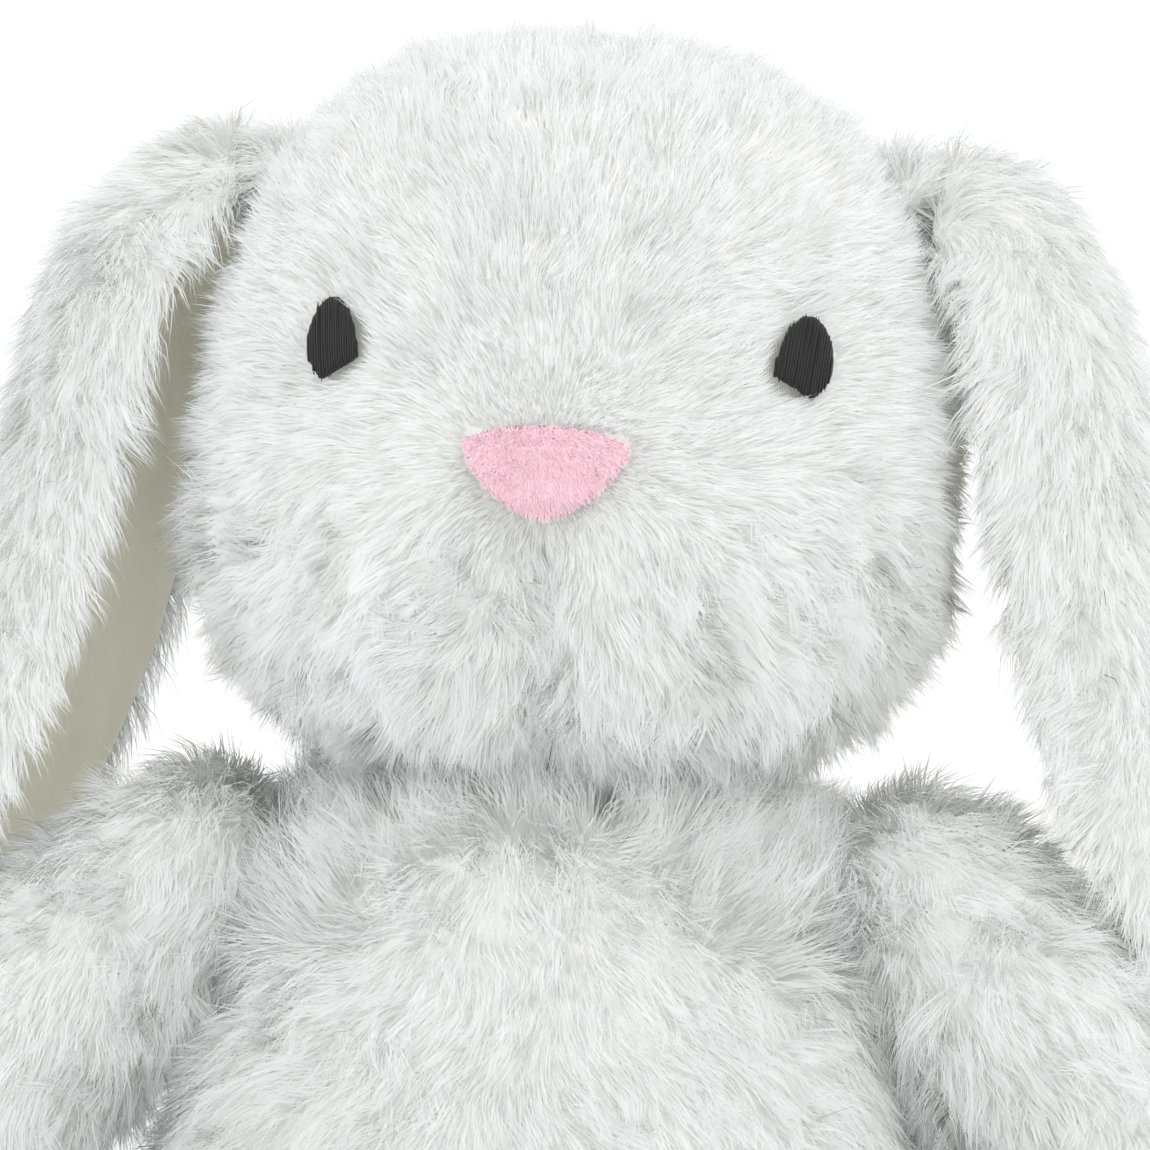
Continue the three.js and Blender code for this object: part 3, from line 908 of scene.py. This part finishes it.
def make_lining(side):
    """The smooth inner layer of an ear, with soft folds along it."""
    lining = smooth_copy(f"ear_{side}_lining", f"ear_lining_{side}", 3)
    points, normals = points_of(lining.data), normals_of(lining.data)
    folds = np.sin(points[:, 1] * 2 * math.pi / (17 * MM) + 1.2 * np.sin(points[:, 2] / (19 * MM)))
    ripples = 0.25 * MM * folds + 0.12 * MM * np.sin(points[:, 2] * 2 * math.pi / (23 * MM))
    move_to(lining, points + normals * ripples[:, None])
    lining.data.materials.append(LINING)
    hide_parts(f"ear_lining_{side}")
    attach(lining, f"ear_{side}")
    return lining


def make_ear(side):
    body, root_body = f"ear_{side}", f"ear_root_{side}"
    outer = smooth_copy(f"ear_{side}_padding", f"ear_outer_{side}", 2)
    outer.data.materials.append(BACKING)
    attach(outer, body)
    inner = tree_of(make_lining(side))

    def clear(root, mid, tip, rng):
        """Only the outside and the rim carry pile; the lining covers the rest."""
        keep = np.ones(len(root), bool)
        for i, (start, end) in enumerate(zip(root, mid)):
            _, facing, _, reach = inner.find_nearest(Vector(start))
            keep[i] = reach > LINING_REACH or facing.dot(Vector(end - start)) > 0
        return keep

    groom = ear_groom(side)
    grow_pile(outer, [f"ear_outer_{side}"], body, groom, EAR_FIBRES, SEEDS[body], clear=clear)

    gather = smooth_copy(f"ear_{side}_root_padding", root_body, 1)
    gather.data.materials.append(BACKING)
    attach(gather, root_body)
    grow_pile(gather, [root_body], root_body, groom, EAR_ROOT_FIBRES, SEEDS[root_body])


# ------------------------------------------------------------------ feet, seat and label


def make_sole(side):
    """The round end of a foot, with pile shorter than on the leg."""
    node, body = f"foot_sole_{side}", f"leg_{side}"
    sole = copy_of(f"foot_{side}_padding", node)
    remesh(sole, 0.9 * MM, relax=4)
    sole.data.materials.append(BACKING)
    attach(sole, body)
    grow_pile(sole, [node], body, sole_groom, SOLE_FIBRES, SEEDS[f"sole_{side}"])


def make_seat():
    """The flat bottom panel, drawn tight under the filling."""
    seat = copy_of("seat_panel", "seat_base")
    remesh(seat, 0.8 * MM, relax=2)
    seat.data.materials.append(BACKING)
    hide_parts("seat_base")
    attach(seat, "torso")


def make_label():
    """A blank ribbon folded in half, sewn into the side seam."""
    low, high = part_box("care_label")
    steps, fold = 16, 0.35 * MM
    reach = high[0] - low[0] - fold
    droop = high[2] - low[2] - 2 * fold
    share = np.linspace(0, 1, steps)
    bend = np.linspace(math.pi / 2, -math.pi / 2, 9)[1:-1]
    outward = np.concatenate([reach * share, reach + fold * np.cos(bend), reach * share[::-1]])
    height = np.concatenate([
        fold - droop * share ** 2, fold * np.sin(bend) - droop, -fold - droop * share[::-1] ** 2])
    ribs = np.linspace(low[1], high[1], 9)
    columns = len(ribs)
    points = [(low[0] + x, y, high[2] - fold + z) for x, z in zip(outward, height) for y in ribs]
    faces = [
        (i * columns + k, i * columns + k + 1, (i + 1) * columns + k + 1, (i + 1) * columns + k)
        for i in range(len(outward) - 1) for k in range(columns - 1)
    ]
    mesh = bpy.data.meshes.new("label_ribbon")
    mesh.from_pydata(points, [], faces)
    label = show("label_ribbon", mesh)
    thickness = label.modifiers.new("thickness", "SOLIDIFY")
    thickness.thickness = 0.12 * MM
    thickness.offset = 0
    apply_modifiers(label)
    label.data.materials.append(SATIN)
    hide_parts("care_label")
    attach(label, "torso")


# ------------------------------------------------------------------ whole rabbit



def far_end(obj, start, count=40):
    """The middle of the points of a form that are farthest from a place."""
    points = points_of(obj.data)
    farthest = np.argsort(np.linalg.norm(points - start, axis=1))[-count:]
    return points[farthest].mean(0)


def make_limbs(side, pads):
    arm, leg = f"arm_{side}", f"leg_{side}"
    shoulder, hip = joint_point(f"{arm}_raise"), joint_point(f"{leg}_lift")
    hand, toe = far_end(pads[arm], shoulder), middle(f"foot_sole_{side}")
    grow_pile(
        pads[arm], [f"arm_front_{side}", f"arm_back_{side}"], arm,
        limb_groom(shoulder, hand, 0.56), ARM_FIBRES, SEEDS[arm])
    grow_pile(
        pads[leg], [f"leg_upper_{side}", f"leg_lower_{side}"], leg,
        limb_groom(hip, toe, 0.78), LEG_FIBRES, SEEDS[leg])


def make_rabbit():
    pads = make_pads()
    grow_pile(
        pads["head"], ["face_left", "face_right", "head_back_left", "head_back_right"],
        "head", head_groom, fuller_in_front(HEAD_FIBRES, HEAD_SEAM), SEEDS["head"],
        clear=clear_of_face)
    grow_pile(
        pads["torso"],
        ["torso_front_left", "torso_front_right", "torso_back_left", "torso_back_right"],
        "torso", torso_groom, fuller_in_front(TORSO_FIBRES, 0), SEEDS["torso"])
    grow_pile(pads["tail"], ["tail_cover"], "torso", tail_groom, TAIL_FIBRES, SEEDS["tail"])
    for side in SIDES:
        make_limbs(side, pads)
        make_sole(side)
        make_ear(side)
        embroider_eye(side, np.random.default_rng(SEEDS[f"eye_{side}"]))
    make_nose(np.random.default_rng(SEEDS["nose"]))
    make_seat()
    make_label()


def dress(node, material):
    """Gives a CAD node that is shown as it is its material."""
    slots = NODES[node].data.materials
    slots.clear()
    slots.append(material)


make_rabbit()
dress("pellet_pouch", POUCH)
dress("neck_stuffing", FIBRE)
dress("neck_gathering_thread", WHITE_THREAD)
dress("back_closing_stitches", WHITE_THREAD)

# ------------------------------------------------------------------ floor, light and camera

VIEW_CENTRE = Vector((0.6 * MM, 0, 184.7 * MM))
VIEW_WIDTH = 190 * MM
VIEW_DISTANCE = 1.8
VIEW_TURN = math.radians(4.8)
VIEW_RISE = math.radians(1.0)
VIEW_ROLL = math.radians(2.4)
FLOOR_RADIUS = 0.7
WORLD_LIGHT = 1.08


def make_floor():
    shape = bmesh.new()
    bmesh.ops.create_circle(shape, cap_ends=True, segments=96, radius=FLOOR_RADIUS)
    mesh = bpy.data.meshes.new("floor")
    shape.to_mesh(mesh)
    shape.free()
    mesh.materials.append(floor_material())
    show("floor", mesh)


def make_light(name, place, size, power, colour):
    lamp = bpy.data.lights.new(name, "AREA")
    lamp.shape = "DISK"
    lamp.size = size
    lamp.energy = power
    lamp.color = colour
    obj = show(name, lamp)
    obj.location = place
    obj.rotation_euler = (VIEW_CENTRE - Vector(place)).to_track_quat("-Z", "Y").to_euler()
    obj.visible_camera = False


def make_world():
    world = bpy.data.worlds.new("studio")
    world.use_nodes = True
    background = world.node_tree.nodes["Background"]
    background.inputs["Color"].default_value = (1, 1, 1, 1)
    background.inputs["Strength"].default_value = WORLD_LIGHT
    bpy.context.scene.world = world


def make_camera():
    data = bpy.data.cameras.new("camera")
    data.lens = data.sensor_width * VIEW_DISTANCE / VIEW_WIDTH
    data.clip_start, data.clip_end = 0.01, 20
    camera = show("camera", data)
    back = Vector((
        math.sin(VIEW_TURN) * math.cos(VIEW_RISE),
        -math.cos(VIEW_TURN) * math.cos(VIEW_RISE),
        math.sin(VIEW_RISE),
    ))
    camera.location = VIEW_CENTRE + back * VIEW_DISTANCE
    turn = (-back).to_track_quat("-Z", "Y").to_matrix()
    roll = Matrix.Rotation(VIEW_ROLL, 3, "Z")
    camera.rotation_euler = (turn @ roll).to_euler()
    bpy.context.scene.camera = camera


make_floor()
make_light("key", (0.8, -1.0, 1.0), 0.7, 3.9, (1.0, 0.99, 0.98))
make_light("front", (0.1, -1.3, 0.05), 0.9, 0.6, (1.0, 1.0, 1.0))
make_light("fill", (-1.0, -0.9, 0.2), 1.0, 2.6, (0.97, 0.99, 1.0))
make_light("back", (0.2, 1.1, 0.9), 0.9, 2.0, (1.0, 1.0, 1.0))
make_world()
make_camera()
bpy.context.scene.view_settings.view_transform = "Standard"
